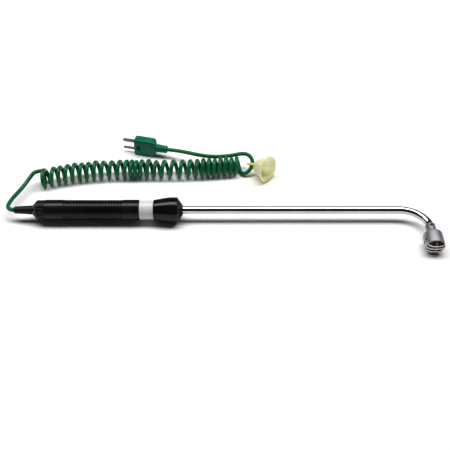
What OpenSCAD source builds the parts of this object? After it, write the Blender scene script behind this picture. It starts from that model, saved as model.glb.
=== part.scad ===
/* [Handle] */
// Outside diameter of the grip
grip_d = 16.4; // [15:0.1:18]
// Length of the grip
grip_len = 74.9; // [70:0.1:80]
// Number of finger ribs on the grip
rib_count = 20; // [8:1:22]
// Distance from one rib to the next
rib_pitch = 2.3; // [1.8:0.1:2.4]
// Length of the visible part of the cord boot
boot_len = 15; // [10:0.5:18]
// Width of the white spacer ring
ring_len = 11.3; // [8:0.1:14]
// Largest diameter of the front knob
knob_d = 20.4; // [19:0.1:23]

/* [Rod] */
// Outside diameter of the rod
rod_d = 6; // [6:0.1:6.2]
// Radius of the rod's long bend
bend_r = 23; // [20:0.5:24]
// How far the rod turns in the long bend, in degrees
bend_turn = 66; // [60:1:70]
// Radius of the rod's short bend, which brings it to a right angle
bend_end_r = 10; // [8:0.5:12]
// How far the arm hangs down as the probe lies on a table, in degrees
arm_roll = 3.4; // [2:0.1:3.5]

/* [Sensing head] */
// Outside diameter of the head's cup
cup_d = 15.4; // [15:0.1:16]
// Length of the cup in front of its collar
cup_len = 13; // [12.8:0.1:14]
// Diameter of the collar on the rod
collar_d = 8; // [8:0.1:9]
// How far the sensing strips stand out of the cup
strip_proud = 2.3; // [2:0.1:3]
// How far the sensing strips can be pressed in
press_travel = 2.2; // [1:0.1:2.4]

/* [Plug] */
// Width of the plug body
plug_w = 15.8; // [15.6:0.1:16.4]
// Thickness of the plug body
plug_t = 8; // [7.6:0.1:8.4]
// Length of the plug body
plug_l = 19; // [18:0.1:20]
// Distance between the two blades
blade_gap = 7.9; // [7.8:0.1:8]

/* [Cord] */
// Diameter of the cord
cord_d = 3.4; // [3.2:0.1:3.5]
// Outside diameter of the curly part
coil_d = 16; // [15.6:0.1:16]

/* [Hidden] */
$fn = 64;

// Fits and small steps
slip = 0.05;
wall_gap = 0.1;
cut = 1;

// Heights and places of the handle, along X. The tail of the boot is at -half_len.
half_len = 168.5;
tail_x = -half_len;
boot_root_x = tail_x + boot_len;
rear_cone_len = 3.5;
rear_cap_len = 10.3;
grip_x = boot_root_x + rear_cap_len;
ring_x = grip_x + grip_len;
knob_x = ring_x + ring_len;
knob_len = 23.4;
knob_end_x = knob_x + knob_len;
knob_r = knob_d / 2;
grip_r = grip_d / 2;
grip_bore_r = 6.2;
cord_r = cord_d / 2;
axis_z = knob_r;

// The arm: straight rod, long bend, short bend, then straight into the collar
rod_r = rod_d / 2;
rod_wall = 0.8;
rod_start_x = ring_x - 17;
rod_in_collar = 6;
sleeve_r = 1.9;
sleeve_bore_r = 1.5;
bend_step = 0.01;
bend_rest = 90 - bend_turn;
head_x = half_len - cup_d / 2;
bend_x = head_x - bend_r * sin(bend_turn) - bend_end_r * (1 - sin(bend_turn));
bend_mid = [bend_x, -bend_r];
bend_end_mid = [head_x - bend_end_r, -bend_r * (1 - cos(bend_turn)) - bend_end_r * cos(bend_turn)];
arm_reach = -bend_end_mid[1];

// The head, measured forwards from the collar's back face
collar_len = 10;
shoulder_r = 3;
mouth_z = collar_len + cup_len;
cup_wall = 0.8;
cup_r = cup_d / 2;
cup_bore_r = cup_r - cup_wall;
cup_floor_z = 12;
crest_z = mouth_z + strip_proud;
block_z = 16.2;
block_len = 4;
pin_r = 0.7;
pin_z = block_z + 1.9;
strip_w = 1.3;
strip_t = 0.3;
strip_step = 2.9;
strip_arc = 4;
strip_flat = 1.8;
strip_foot_z = block_z + 2.4;
strip_foot_x = 5;
slot_w = strip_w + 0.4;
slot_z = strip_foot_z - press_travel - 0.3;
ribbon_root = 1.5;
ribbon_w = 1.1;
ribbon_t = 0.15;
ribbon_half = 5.2;
wire_r = 0.5;
wire_off = 0.85;
front_reach = (arm_reach + crest_z) * cos(arm_roll);
axis_y = (front_reach - knob_r) / 2;

// Screws
set_screw_r = 1.25;
key_af = 1.3;

// Routes of the cord, as it lies on the table
lead_route = [
    [tail_x, axis_y, axis_z], [-171.2, 16.9, 10.1], [-173.7, 19, 9.8], [-174.9, 22.3, 9.4], [-174.8, 27, 8.8],
    [-173.6, 33.5, 8.1], [-171.6, 39.5, 7.8], [-169.2, 45.5, 7.9], [-166.6, 51.5, 8.7], [-163.6, 57.5, 10.3],
    [-161, 61.5, 12], [-158.6, 63.8, 13]
];
coil_route = [
    [-156.5, 58.6, 8], [-146, 62.6, 8], [-134, 66.4, 8], [-116, 70.2, 8], [-96, 72.2, 8],
    [-72, 72.8, 8], [-46, 72.6, 8], [-26, 73.8, 8], [-8, 75.4, 8], [12.5, 77.6, 8]
];
return_route = [
    [12.8, 77.4, 1.8], [14.8, 74.2, 2], [17.6, 72.6, 3.2], [20.8, 73.8, 5.4], [22.9, 76.2, 7.8],
    [23.6, 78.6, 10.2], [22.8, 81.6, 12.4], [20.2, 84.4, 13.8], [16.4, 86.4, 13.8], [11, 87.2, 12.6],
    [4, 86.4, 11.7], [-6, 85.4, 11.5], [-15, 85.8, 11.6], [-24, 88.6, 11.2], [-32, 92.6, 10.2],
    [-40, 96.6, 9], [-46, 99, 8.2], [-51, 100.3, 7.9]
];
tube_sides = 8;
coil_sides = 12;

// The plug stands on its narrow edge where the cord ends
plug_at = [-51, 100.3, 7.9];
plug_yaw = 166;
plug_boot_len = 10.5;
plug_edge_r = 1.5;
blade_len = 11.2;
blade_t = 0.8;
blade_in = 8;
blade_pos_w = 2.4;
blade_neg_w = 3.2;
plug_screw_at = plug_l - 4.2;
terminal_at = 7.5;

// The cap hangs by its strap on the loop of the cord. Its frame's origin is its closed end, Z out of its mouth.
strap_at = [23.25, 77.4, 9];
strap_dir = [0.2, 0.69, 0.69];
strap_bore_r = 2.1;
strap_ring_r = 3.1;
strap_ring_w = 2.2;
strap_tail = [18.9, 78.5, 9.3];
cap_at = [27.2, 75.4, 9.45];
cap_yaw = -40;
cap_pitch = 9.5;
cap_len = 12.5;
cap_end_r = 6.4;
cap_body_r = 9;
cap_lip_r = 11.5;
cap_wall = 0.9;

// ---- Helpers ----

function unit(v) = v / norm(v);

// The direction of a route at its point i
function heading(route, i) = unit(route[min(i + 1, len(route) - 1)] - route[max(i - 1, 0)]);

// One ring of a swept tube: a polygon square to the route
function tube_ring(route, i, r, sides) =
    let (t = heading(route, i), side = unit(cross(t, [0, 0, 1])), up = cross(side, t))
    [for (k = [0 : sides - 1]) let (a = 360 * k / sides - 90) route[i] + r * (cos(a) * side + sin(a) * up)];

// A closed tube of round section along a route
module tube(route, r, sides) {
    rings = len(route);
    points = [for (i = [0 : rings - 1]) each tube_ring(route, i, r, sides)];
    skin = [
        for (i = [0 : rings - 2], k = [0 : sides - 1])
            let (a = i * sides + k, b = i * sides + (k + 1) % sides)
            [a, a + sides, b + sides, b]
    ];
    first = [for (k = [0 : sides - 1]) k];
    last = [for (k = [sides - 1 : -1 : 0]) (rings - 1) * sides + k];
    polyhedron(points, concat([first, last], skin), convexity = 8);
}

// Places children on the handle's axis, with their own Z running forwards along +X
module on_axis(x) {
    translate([x, axis_y, axis_z]) rotate([0, 90, 0]) children();
}

// A turned piece on the handle's axis, from a list of [distance, radius] along its outside and a bore radius
module turned(x, outline, bore) {
    on_axis(x) rotate_extrude() polygon(concat(
        [for (p = outline) [p[1], p[0]]],
        [[bore, outline[len(outline) - 1][0]], [bore, outline[0][0]]]
    ));
}

// The arm's own frame, with the handle's axis as its X axis
module in_arm() {
    translate([0, axis_y, axis_z]) rotate([arm_roll, 0, 0]) children();
}

// A round bar along the rod's route, off to one side of its middle. It runs from x_start to end_len past the
// last bend. Each bend's radius differs by a hair's step, so that the lapped pieces join cleanly.
module along_rod(x_start, end_len, r, step, off = 0) {
    lap = 0.05;
    lap_turn = 0.3;
    in_arm() {
        translate([x_start, off, 0]) rotate([0, 90, 0]) cylinder(r = r, h = bend_x - x_start + lap);
        translate([bend_mid[0], bend_mid[1], 0]) rotate([0, 0, bend_rest - lap_turn])
            rotate_extrude(angle = bend_turn + 2 * lap_turn) translate([bend_r + off, 0]) circle(r = r + step);
        translate([bend_end_mid[0], bend_end_mid[1], 0]) rotate([0, 0, -lap_turn])
            rotate_extrude(angle = bend_rest + 2 * lap_turn) translate([bend_end_r + off, 0])
                circle(r = r + 2 * step);
        translate([head_x + off, -arm_reach + lap, 0]) rotate([90, 0, 0]) cylinder(r = r, h = end_len + lap);
    }
}

// A tube along the rod's route
module tube_along_rod(x_start, end_len, r, bore) {
    difference() {
        along_rod(x_start, end_len, r, -bend_step);
        along_rod(x_start - cut, end_len + cut, bore, bend_step);
    }
}

// The head's frame: Z forwards out of the cup, Y up, from the collar's back face
module in_head() {
    in_arm() translate([head_x, -arm_reach, 0]) rotate([90, 0, 0]) children();
}

// A socket set screw along Z, with its key hole at the top
module set_screw(len) {
    difference() {
        cylinder(r = set_screw_r, h = len);
        translate([0, 0, len - 1]) cylinder(d = key_af, h = 1 + cut, $fn = 6);
    }
}

// The plug's frame: X from the end of its boot towards the blades, Y through its thickness, Z along its width
module in_plug() {
    translate(plug_at) rotate([0, 0, plug_yaw]) children();
}

// ---- Handle ----

module grip() {
    rib_start = 15.2;
    valley_r = grip_r - 0.45;
    ribs = [for (i = [0 : rib_count - 1]) each [
        [rib_start + i * rib_pitch, valley_r],
        [rib_start + i * rib_pitch + 0.35, grip_r],
        [rib_start + i * rib_pitch + 1.15, grip_r],
        [rib_start + i * rib_pitch + 1.5, valley_r]
    ]];
    rib_end = rib_start + rib_count * rib_pitch;
    color([0.06, 0.06, 0.065]) turned(grip_x, concat(
        [[0, grip_r - 0.3], [0.3, grip_r], [rib_start - 0.6, grip_r], [rib_start - 0.2, valley_r]],
        ribs,
        [[rib_end - 0.4, valley_r], [rib_end, grip_r], [grip_len - 0.4, grip_r], [grip_len, grip_r - 0.4]]
    ), grip_bore_r);
}

module rear_cap() {
    flute_count = 16;
    flute_r = 0.45;
    body_r = grip_r - 0.25;
    spigot_r = grip_bore_r - slip;
    spigot_len = 6;
    end_r = 4.1;
    color([0.05, 0.05, 0.055]) difference() {
        on_axis(boot_root_x) rotate_extrude() polygon([
            [3.45, 0], [end_r, 0], [body_r - 0.6, rear_cone_len - 0.4], [body_r, rear_cone_len + 0.3],
            [body_r, rear_cap_len - 0.4], [body_r - 0.3, rear_cap_len], [spigot_r, rear_cap_len],
            [spigot_r, rear_cap_len + spigot_len], [4.9, rear_cap_len + spigot_len], [4.9, 2], [3.45, 2]
        ]);
        for (k = [0 : flute_count - 1])
            on_axis(boot_root_x + rear_cone_len + 0.8) rotate([0, 0, 360 * k / flute_count])
                translate([body_r + 0.1, 0, 0]) cylinder(r = flute_r, h = 4.8, $fn = 24);
    }
}

// Rubber boot: a tapered sleeve with a flange held inside the rear cap
module cord_boot() {
    tip_r = 2.7;
    root_r = 3.7;
    color([0.03, 0.03, 0.03]) turned(tail_x, [
        [0, tip_r - 0.5], [0.5, tip_r], [boot_len - 0.05, root_r], [boot_len - 0.05, 3.4],
        [boot_len + 2.05, 3.4], [boot_len + 2.05, 4.8], [boot_len + 3.5, 4.8]
    ], cord_r + slip);
}

module spacer_ring() {
    color([0.93, 0.93, 0.92]) turned(ring_x, [
        [0.05, 7.35], [0.35, 7.65], [ring_len - 0.35, 7.65], [ring_len - 0.05, 7.35]
    ], 5.05);
}

// Front knob with a spigot that screws through the ring into the handle
module front_knob() {
    spigot_len = ring_len + 5;
    hub_r = 8.1;
    flare_x = 13;
    flare_end_x = 19.2;
    screw_x = 15.6;
    color([0.045, 0.045, 0.05]) difference() {
        turned(knob_x, [
            [-spigot_len, 4.6], [-spigot_len + 0.4, 4.98], [0, 4.98], [0, hub_r - 0.6], [0.5, hub_r],
            [5, hub_r + 0.85], [9.5, hub_r + 1.7], [flare_x, knob_r], [flare_end_x, knob_r],
            [flare_end_x + 0.7, knob_r - 0.6], [knob_len - 0.3, 4], [knob_len, 3.6]
        ], rod_r + slip);
        translate([knob_x + screw_x, axis_y, axis_z]) cylinder(r = set_screw_r, h = knob_r + cut);
    }
}

module knob_set_screw() {
    color([0.2, 0.2, 0.21])
        translate([knob_x + 15.6, axis_y, axis_z + rod_r + slip]) set_screw(5);
}

// Threaded metal insert in the mouth of the grip, which takes the knob's spigot
module front_insert() {
    color([0.75, 0.75, 0.77]) turned(ring_x - 8, [[0, grip_bore_r - slip], [7.8, grip_bore_r - slip]], 5.03);
}

// Bush that holds the back end of the rod in the grip
module rod_anchor() {
    color([0.78, 0.62, 0.3]) turned(rod_start_x - 1, [[0, grip_bore_r - slip], [7.5, grip_bore_r - slip]],
        rod_r + slip);
}

// Ferrule crimped on the cord behind the boot, so that the cord can't be pulled out
module cord_ferrule() {
    color([0.75, 0.75, 0.77]) turned(boot_root_x + 3.6, [[0, 3.2], [4, 3.2]], cord_r + slip);
}

inner_end_x = grip_x + 11;

module cord_inner() {
    color([0.05, 0.3, 0.17]) on_axis(tail_x) cylinder(r = cord_r, h = inner_end_x - tail_x);
}

// A straight insulated lead in the handle, beside the axis
module lead(side, x0, x1) {
    translate([x0, axis_y, axis_z]) rotate([arm_roll, 0, 0]) translate([0, side * wire_off, 0])
        rotate([0, 90, 0]) cylinder(r = wire_r, h = x1 - x0);
}

splice_len = 8;
splice_pos_x = inner_end_x + 6;
splice_neg_x = inner_end_x + 18;

module lead_positive() {
    color([0.85, 0.7, 0.1]) lead(1, inner_end_x, splice_pos_x + splice_len / 2);
}

module lead_negative() {
    color([0.7, 0.1, 0.08]) lead(-1, inner_end_x, splice_neg_x + splice_len / 2);
}

// Crimped sleeve that joins a lead of the cord to a thermocouple wire
module splice(side, x) {
    translate([x, axis_y, axis_z]) rotate([arm_roll, 0, 0]) translate([0, side * wire_off, 0])
        rotate([0, 90, 0]) difference() {
            cylinder(r = 1.05, h = splice_len);
            translate([0, 0, -cut]) cylinder(r = wire_r + 0.02, h = splice_len + 2 * cut);
        }
}

module splice_positive() {
    color([0.8, 0.8, 0.82]) splice(1, splice_pos_x);
}

module splice_negative() {
    color([0.8, 0.8, 0.82]) splice(-1, splice_neg_x);
}

// ---- Rod and the wires in it ----

module probe_rod() {
    color([0.82, 0.83, 0.85]) tube_along_rod(rod_start_x, rod_in_collar, rod_r, rod_r - rod_wall);
}

module wire_sleeve() {
    color([0.9, 0.88, 0.8]) tube_along_rod(rod_start_x, rod_in_collar + 1, sleeve_r, sleeve_bore_r);
}

wire_end = block_z + block_len - 1;

module wire_positive() {
    color([0.85, 0.7, 0.1]) along_rod(splice_pos_x + splice_len / 2, wire_end, wire_r, -bend_step, wire_off);
}

module wire_negative() {
    color([0.7, 0.1, 0.08]) along_rod(splice_neg_x + splice_len / 2, wire_end, wire_r, -bend_step, -wire_off);
}

// ---- Sensing head ----

// Cup and collar turned in one piece. It has a set screw hole, six open slots for the strips' legs, and a
// closed slot underneath for the retaining pin.
module head_cup() {
    lip = 0.35;
    collar_r = collar_d / 2;
    color([0.72, 0.73, 0.75]) in_head() difference() {
        union() {
            rotate_extrude() polygon([
                [0, 0], [collar_r - 0.3, 0], [collar_r, 0.3], [collar_r, collar_len + 0.01],
                [0, collar_len + 0.01]
            ]);
            translate([0, 0, collar_len]) rotate_extrude() {
                square([cup_r - shoulder_r, shoulder_r]);
                intersection() {
                    translate([cup_r - shoulder_r, shoulder_r]) circle(r = shoulder_r);
                    square([cup_r, shoulder_r]);
                }
            }
            translate([0, 0, collar_len + shoulder_r]) rotate_extrude() polygon([
                [0, 0], [cup_r, 0], [cup_r, cup_len - shoulder_r - lip], [cup_r - lip, cup_len - shoulder_r],
                [0, cup_len - shoulder_r]
            ]);
        }
        translate([0, 0, cup_floor_z]) cylinder(r = cup_bore_r, h = mouth_z);
        translate([0, 0, -cut]) cylinder(r = rod_r + slip, h = rod_in_collar + 0.05 + cut);
        cylinder(r = 2.2, h = mouth_z);
        translate([0, 0, 2.4]) rotate([-90, 0, 0]) cylinder(r = set_screw_r, h = collar_d);
        for (y = [-strip_step, 0, strip_step], x = [strip_foot_x, -strip_foot_x - 4])
            translate([x, y - slot_w / 2, slot_z]) cube([4, slot_w, mouth_z]);
        translate([0, -cup_r, pin_z]) rotate([90, 0, 0]) linear_extrude(4, center = true) {
            circle(r = pin_r + wall_gap);
            translate([0, -press_travel]) circle(r = pin_r + wall_gap);
            translate([-pin_r - wall_gap, -press_travel]) square([2 * (pin_r + wall_gap), press_travel]);
        }
    }
}

module head_set_screw() {
    color([0.12, 0.12, 0.13]) in_head()
        translate([0, rod_r + slip, 2.4]) rotate([-90, 0, 0]) difference() {
            cylinder(r = set_screw_r - slip, h = 0.75);
            translate([0, 0, 0.3]) cylinder(d = key_af, h = 1, $fn = 6);
        }
}

// Compression spring behind the sensor block
module press_spring() {
    spring_r = 4.6;
    spring_wire_r = 0.3;
    turns = 2;
    steps_per_turn = 16;
    z0 = cup_floor_z + spring_wire_r + 0.02;
    z1 = block_z - spring_wire_r - 0.02;
    steps = turns * steps_per_turn;
    helix = [for (i = [0 : steps]) let (a = 360 * i / steps_per_turn)
        [spring_r * cos(a), spring_r * sin(a), z0 + (z1 - z0) * i / steps]];
    color([0.7, 0.7, 0.72]) in_head() tube(helix, spring_wire_r, 6);
}

// Half the width of a strip at the height y, so that its legs lie just inside the cup's outer face
function strip_half(y) = sqrt(pow(cup_r - 0.15, 2) - pow(abs(y) + strip_w / 2, 2));

// The bowed side of a strip, from its leg to its flat middle, at the depth t under its outer face
function strip_side(half, t) = [for (k = [0 : 8]) let (a = 90 * k / 8)
    [strip_flat + (half - strip_flat - t) * cos(a), crest_z - strip_arc + (strip_arc - t) * sin(a)]];

function flipped(points) = [for (p = points) [-p[0], p[1]]];
function backwards(points) = [for (i = [len(points) - 1 : -1 : 0]) points[i]];

// A springy metal strip bowed across the mouth. Its legs lie in the cup's slots, with feet in the block.
module strip(y) {
    half = strip_half(y);
    outer = concat([[half, strip_foot_z]], strip_side(half, 0));
    inner = concat(
        [[strip_foot_x, strip_foot_z], [strip_foot_x, strip_foot_z + strip_t],
            [half - strip_t, strip_foot_z + strip_t]],
        strip_side(half, strip_t)
    );
    in_head() translate([0, y + strip_w / 2, 0]) rotate([90, 0, 0]) linear_extrude(strip_w)
        polygon(concat(outer, backwards(flipped(outer)), flipped(inner), backwards(inner)));
}

module strip_upper() {
    color([0.8, 0.8, 0.78]) strip(strip_step);
}

module strip_middle() {
    color([0.8, 0.8, 0.78]) strip(0);
}

module strip_lower() {
    color([0.8, 0.8, 0.78]) strip(-strip_step);
}

// Outline of the ribbon: a flat front with round corners, and two legs
module ribbon_outline(half, front_z, back_z, corner) {
    translate([-half, back_z]) square([2 * half, front_z - corner - back_z]);
    translate([corner - half, front_z - corner - cut]) square([2 * (half - corner), corner + cut]);
    for (side = [-1, 1]) translate([side * (half - corner), front_z - corner]) circle(r = corner);
}

// Half of the sensing ribbon: it runs behind the strips from the middle to one leg in the block
module ribbon(side) {
    front_z = crest_z - strip_t - 0.02;
    root_z = block_z + block_len - ribbon_root;
    in_head() rotate([0, 0, side > 0 ? 0 : 180]) translate([-ribbon_w / 2, 0, 0])
        rotate([90, 0, 90]) linear_extrude(ribbon_w) intersection() {
            difference() {
                ribbon_outline(ribbon_half, front_z, root_z, 1.5);
                ribbon_outline(ribbon_half - ribbon_t, front_z - ribbon_t, root_z - cut, 1.5 - ribbon_t);
            }
            translate([0.01, 0]) square([ribbon_half + cut, crest_z]);
        }
}

module ribbon_positive() {
    color([0.85, 0.78, 0.6]) ribbon(1);
}

module ribbon_negative() {
    color([0.7, 0.68, 0.62]) ribbon(-1);
}

// Insulating block that slides in the cup and carries the strips and the ribbon
module sensor_block() {
    play = 0.06;
    front_z = block_z + block_len;
    color([0.16, 0.12, 0.1]) in_head() difference() {
        translate([0, 0, block_z]) cylinder(r = cup_bore_r - wall_gap, h = block_len);
        for (side = [-1, 1]) translate([side * wire_off, 0, 0])
            cylinder(r = wire_r + 0.15, h = crest_z, $fn = 24);
        for (y = [-strip_step, 0, strip_step], turn = [0, 180]) rotate([0, 0, turn]) translate([0, y, 0]) {
            translate([strip_foot_x - play, -strip_w / 2 - play, strip_foot_z - play])
                cube([cup_r, strip_w + 2 * play, strip_t + 2 * play]);
            translate([strip_half(y) - strip_t - play, -strip_w / 2 - play, strip_foot_z - play])
                cube([cup_r, strip_w + 2 * play, block_len]);
        }
        for (side = [-1, 1]) translate([0, side * (ribbon_half - ribbon_t / 2), front_z])
            cube([ribbon_w + 2 * play, ribbon_t + 2 * play, 2 * ribbon_root + play], center = true);
        translate([0, -2.2 - cup_r, pin_z]) rotate([90, 0, 0])
            cylinder(r = pin_r + 0.01, h = 2 * cup_r, center = true);
    }
}

// A short pin in the block's underside, which rides in the cup's closed slot and keeps the block in
module retaining_pin() {
    color([0.8, 0.8, 0.82]) in_head() translate([0, 2.55 - cup_r, pin_z]) rotate([90, 0, 0])
        cylinder(r = pin_r, h = 5, center = true);
}

// ---- Cord ----

module cord_lead() {
    color([0.05, 0.35, 0.2]) tube(lead_route, cord_r, tube_sides);
}

module cord_coil() {
    color([0.04, 0.3, 0.17]) tube(coil_route, coil_d / 2, coil_sides);
}

module cord_return() {
    color([0.05, 0.35, 0.2]) tube(return_route, cord_r, tube_sides);
}

// ---- Plug ----

// Outline of the plug body on its wide face, with the blade end square and the cord end rounded
module plug_outline() {
    nose = 1;
    translate([plug_boot_len, -plug_w / 2 + plug_edge_r]) square([plug_l, plug_w - 2 * plug_edge_r]);
    translate([plug_boot_len + 3, -plug_w / 2]) square([plug_l - 3 - nose, plug_w]);
    for (side = [-1, 1]) {
        translate([plug_boot_len + 3, side * (plug_w / 2 - 3)]) circle(r = 3);
        translate([plug_boot_len + plug_l - nose, side * (plug_w / 2 - nose)]) circle(r = nose);
    }
}

// What both halves leave free: the channel of the cord and its two leads, the blades and the screws
module plug_hollow() {
    blade_x = plug_boot_len + plug_l - blade_in;
    translate([plug_boot_len - cut, 0, 0]) rotate([0, 90, 0]) cylinder(r = 2.6, h = terminal_at);
    translate([plug_boot_len + 4, -1.6, -blade_gap / 2 - 2]) cube([6.2, 3.2, blade_gap + 4]);
    for (side = [-1, 1]) {
        w = side > 0 ? blade_neg_w : blade_pos_w;
        translate([blade_x + 0.2, -1.6, side * blade_gap / 2 - 1.5]) cube([3, 3.2, 3]);
        translate([blade_x - 0.05, -blade_t / 2 - 0.02, side * blade_gap / 2 - w / 2 - 0.02])
            cube([blade_in + cut, blade_t + 0.04, w + 0.04]);
    }
    translate([plug_boot_len + plug_screw_at, 0, 0]) rotate([-90, 0, 0]) {
        cylinder(r = 1.1, h = 3 * plug_t, center = true, $fn = 32);
        translate([0, 0, plug_t / 2 - 1.7]) cylinder(r = 2.2, h = plug_t);
    }
}

module plug_half(side) {
    body_t = plug_t / 2 - 0.02;
    in_plug() difference() {
        translate([0, side < 0 ? -0.02 : plug_t / 2, 0]) rotate([90, 0, 0]) linear_extrude(body_t) plug_outline();
        plug_hollow();
    }
}

// The half with the screw's head is the one in front
module plug_front_half() {
    color([0.05, 0.42, 0.3]) plug_half(1);
}

module plug_back_half() {
    color([0.05, 0.42, 0.3]) plug_half(-1);
}

module plug_screw() {
    color([0.25, 0.26, 0.27]) in_plug() translate([plug_boot_len + plug_screw_at, 0, 0]) rotate([-90, 0, 0])
        difference() {
            union() {
                translate([0, 0, -plug_t / 2 + 0.5]) cylinder(r = 1.08, h = plug_t - 2, $fn = 32);
                translate([0, 0, plug_t / 2 - 1.68]) cylinder(r = 1.95, h = 1.3);
            }
            translate([-0.3, -3, plug_t / 2 - 0.9]) cube([0.6, 6, 2]);
        }
}

module blade(side, w) {
    x0 = plug_boot_len + plug_l - blade_in;
    reach = blade_in + blade_len;
    in_plug() difference() {
        translate([x0, blade_t / 2, side * blade_gap / 2]) rotate([90, 0, 0]) linear_extrude(blade_t) {
            translate([0, -w / 2]) square([reach - w / 2, w]);
            translate([reach - w / 2, 0]) circle(r = w / 2);
        }
        translate([x0 + 1.7, 0, side * blade_gap / 2]) rotate([90, 0, 0])
            cylinder(r = 0.7, h = 3, center = true, $fn = 24);
    }
}

module blade_positive() {
    color([0.75, 0.72, 0.68]) blade(-1, blade_pos_w);
}

module blade_negative() {
    color([0.78, 0.77, 0.75]) blade(1, blade_neg_w);
}

// Two terminal screws that hold the leads to the blades
module terminal_screws() {
    color([0.8, 0.8, 0.82]) in_plug() for (side = [-1, 1])
        translate([plug_boot_len + plug_l - blade_in + 1.7, 0, side * blade_gap / 2]) rotate([90, 0, 0]) {
            translate([0, 0, blade_t / 2 + 0.01]) cylinder(r = 1.1, h = 0.7, $fn = 32);
            translate([0, 0, -blade_t / 2 - 0.3]) cylinder(r = 0.66, h = blade_t + 0.4, $fn = 24);
        }
}

// Clamp ring on the cord inside the plug
module plug_clamp() {
    color([0.8, 0.8, 0.82]) in_plug() translate([plug_boot_len + 1, 0, 0]) rotate([0, 90, 0]) difference() {
        cylinder(r = 2.5, h = 2.6);
        translate([0, 0, -cut]) cylinder(r = 1.5, h = 5);
    }
}

// Ribbed strain relief: it meets the plug body face to face
module plug_boot() {
    rib_n = 4;
    root_r = 3.9;
    tip_r = 3.4;
    step = (plug_boot_len - 1.4) / rib_n;
    ribs = [for (i = [0 : rib_n - 1]) let (r = tip_r + (root_r - tip_r) * i / rib_n) each [
        [0.6 + i * step, r], [0.6 + i * step + 1.3, r],
        [0.6 + i * step + 1.3, r - 0.7], [0.6 + (i + 1) * step, r - 0.7]
    ]];
    color([0.05, 0.4, 0.28]) in_plug() rotate([0, 90, 0]) rotate_extrude() polygon(concat(
        [[0, 0.02], [tip_r - 0.3, 0.02]],
        [for (p = ribs) [p[1], p[0]]],
        [[root_r, plug_boot_len - 0.8], [root_r, plug_boot_len - 0.03], [0, plug_boot_len - 0.03]]
    ));
}

// ---- Cap ----

module in_cap() {
    translate(cap_at) rotate([0, 0, cap_yaw]) rotate([0, 90 - cap_pitch, 0]) children();
}

// Soft bell-shaped cup with a rounded closed end and a turned-out lip
module cap_shell() {
    floor_t = 1.6;
    outside = [
        [0, 0], [cap_end_r - 2, 0], [cap_end_r - 0.6, 0.6], [cap_end_r, 1.8], [cap_body_r - 0.9, 5.6],
        [cap_body_r, cap_len - 3.4], [cap_body_r + 1, cap_len - 1.6], [cap_lip_r, cap_len - 0.8],
        [cap_lip_r, cap_len]
    ];
    inside = [
        [cap_body_r + 0.6, cap_len], [cap_body_r - cap_wall + 0.2, cap_len - 1.8],
        [cap_body_r - cap_wall, cap_len - 3.4], [cap_body_r - 0.9 - cap_wall, 5.4], [5.4, floor_t + 0.9],
        [4.6, floor_t], [0, floor_t]
    ];
    color([0.95, 0.93, 0.6, 0.6]) in_cap() rotate_extrude() polygon(concat(outside, inside));
}

// Strap: a ring round the cord with a short tail, and a tongue that runs to the cap's closed end
module cap_strap() {
    along = unit(strap_dir);
    turn = acos(along[2]);
    spin = atan2(along[1], along[0]);
    tongue_r = 1;
    reach = unit(cap_at - strap_at);
    color([0.95, 0.8, 0.35, 0.8]) difference() {
        union() {
            translate(strap_at) rotate([0, 0, spin]) rotate([0, turn, 0])
                cylinder(r = strap_ring_r, h = strap_ring_w, center = true);
            hull() {
                translate(strap_at + 2.6 * reach) sphere(r = tongue_r, $fn = 16);
                in_cap() translate([0, 0, -0.9]) cylinder(r = tongue_r + 0.6, h = 0.8, $fn = 20);
            }
            hull() {
                translate(strap_at - [2.6, 0, 0]) sphere(r = 0.9, $fn = 12);
                translate(strap_tail) sphere(r = 0.8, $fn = 12);
            }
        }
        translate(strap_at) rotate([0, 0, spin]) rotate([0, turn, 0])
            cylinder(r = strap_bore_r, h = 20, center = true);
    }
}

grip();
rear_cap();
cord_boot();
spacer_ring();
front_knob();
knob_set_screw();
front_insert();
rod_anchor();
cord_ferrule();
cord_inner();
lead_positive();
lead_negative();
splice_positive();
splice_negative();
probe_rod();
wire_sleeve();
wire_positive();
wire_negative();
head_cup();
head_set_screw();
press_spring();
sensor_block();
retaining_pin();
strip_upper();
strip_middle();
strip_lower();
ribbon_positive();
ribbon_negative();
cord_lead();
cord_coil();
cord_return();
plug_front_half();
plug_back_half();
plug_screw();
blade_positive();
blade_negative();
terminal_screws();
plug_clamp();
plug_boot();
cap_shell();
cap_strap();
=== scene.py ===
import math

import bpy
import bmesh
from mathutils import Matrix, Vector


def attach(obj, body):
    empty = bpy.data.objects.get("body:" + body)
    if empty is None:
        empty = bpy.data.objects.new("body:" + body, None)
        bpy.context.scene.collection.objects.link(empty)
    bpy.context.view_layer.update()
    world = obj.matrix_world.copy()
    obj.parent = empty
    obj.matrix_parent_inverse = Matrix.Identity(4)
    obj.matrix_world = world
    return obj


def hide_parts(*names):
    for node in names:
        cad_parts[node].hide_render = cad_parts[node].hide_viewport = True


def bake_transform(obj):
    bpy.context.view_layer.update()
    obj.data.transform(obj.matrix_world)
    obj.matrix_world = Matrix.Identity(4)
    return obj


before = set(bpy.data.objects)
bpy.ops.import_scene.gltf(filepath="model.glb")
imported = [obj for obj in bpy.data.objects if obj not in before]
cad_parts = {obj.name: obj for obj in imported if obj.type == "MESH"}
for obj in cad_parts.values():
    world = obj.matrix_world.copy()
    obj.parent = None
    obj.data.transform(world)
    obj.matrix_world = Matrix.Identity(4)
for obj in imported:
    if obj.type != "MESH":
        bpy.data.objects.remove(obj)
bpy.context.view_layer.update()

MM = 0.001
SCENE = bpy.context.scene

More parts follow.
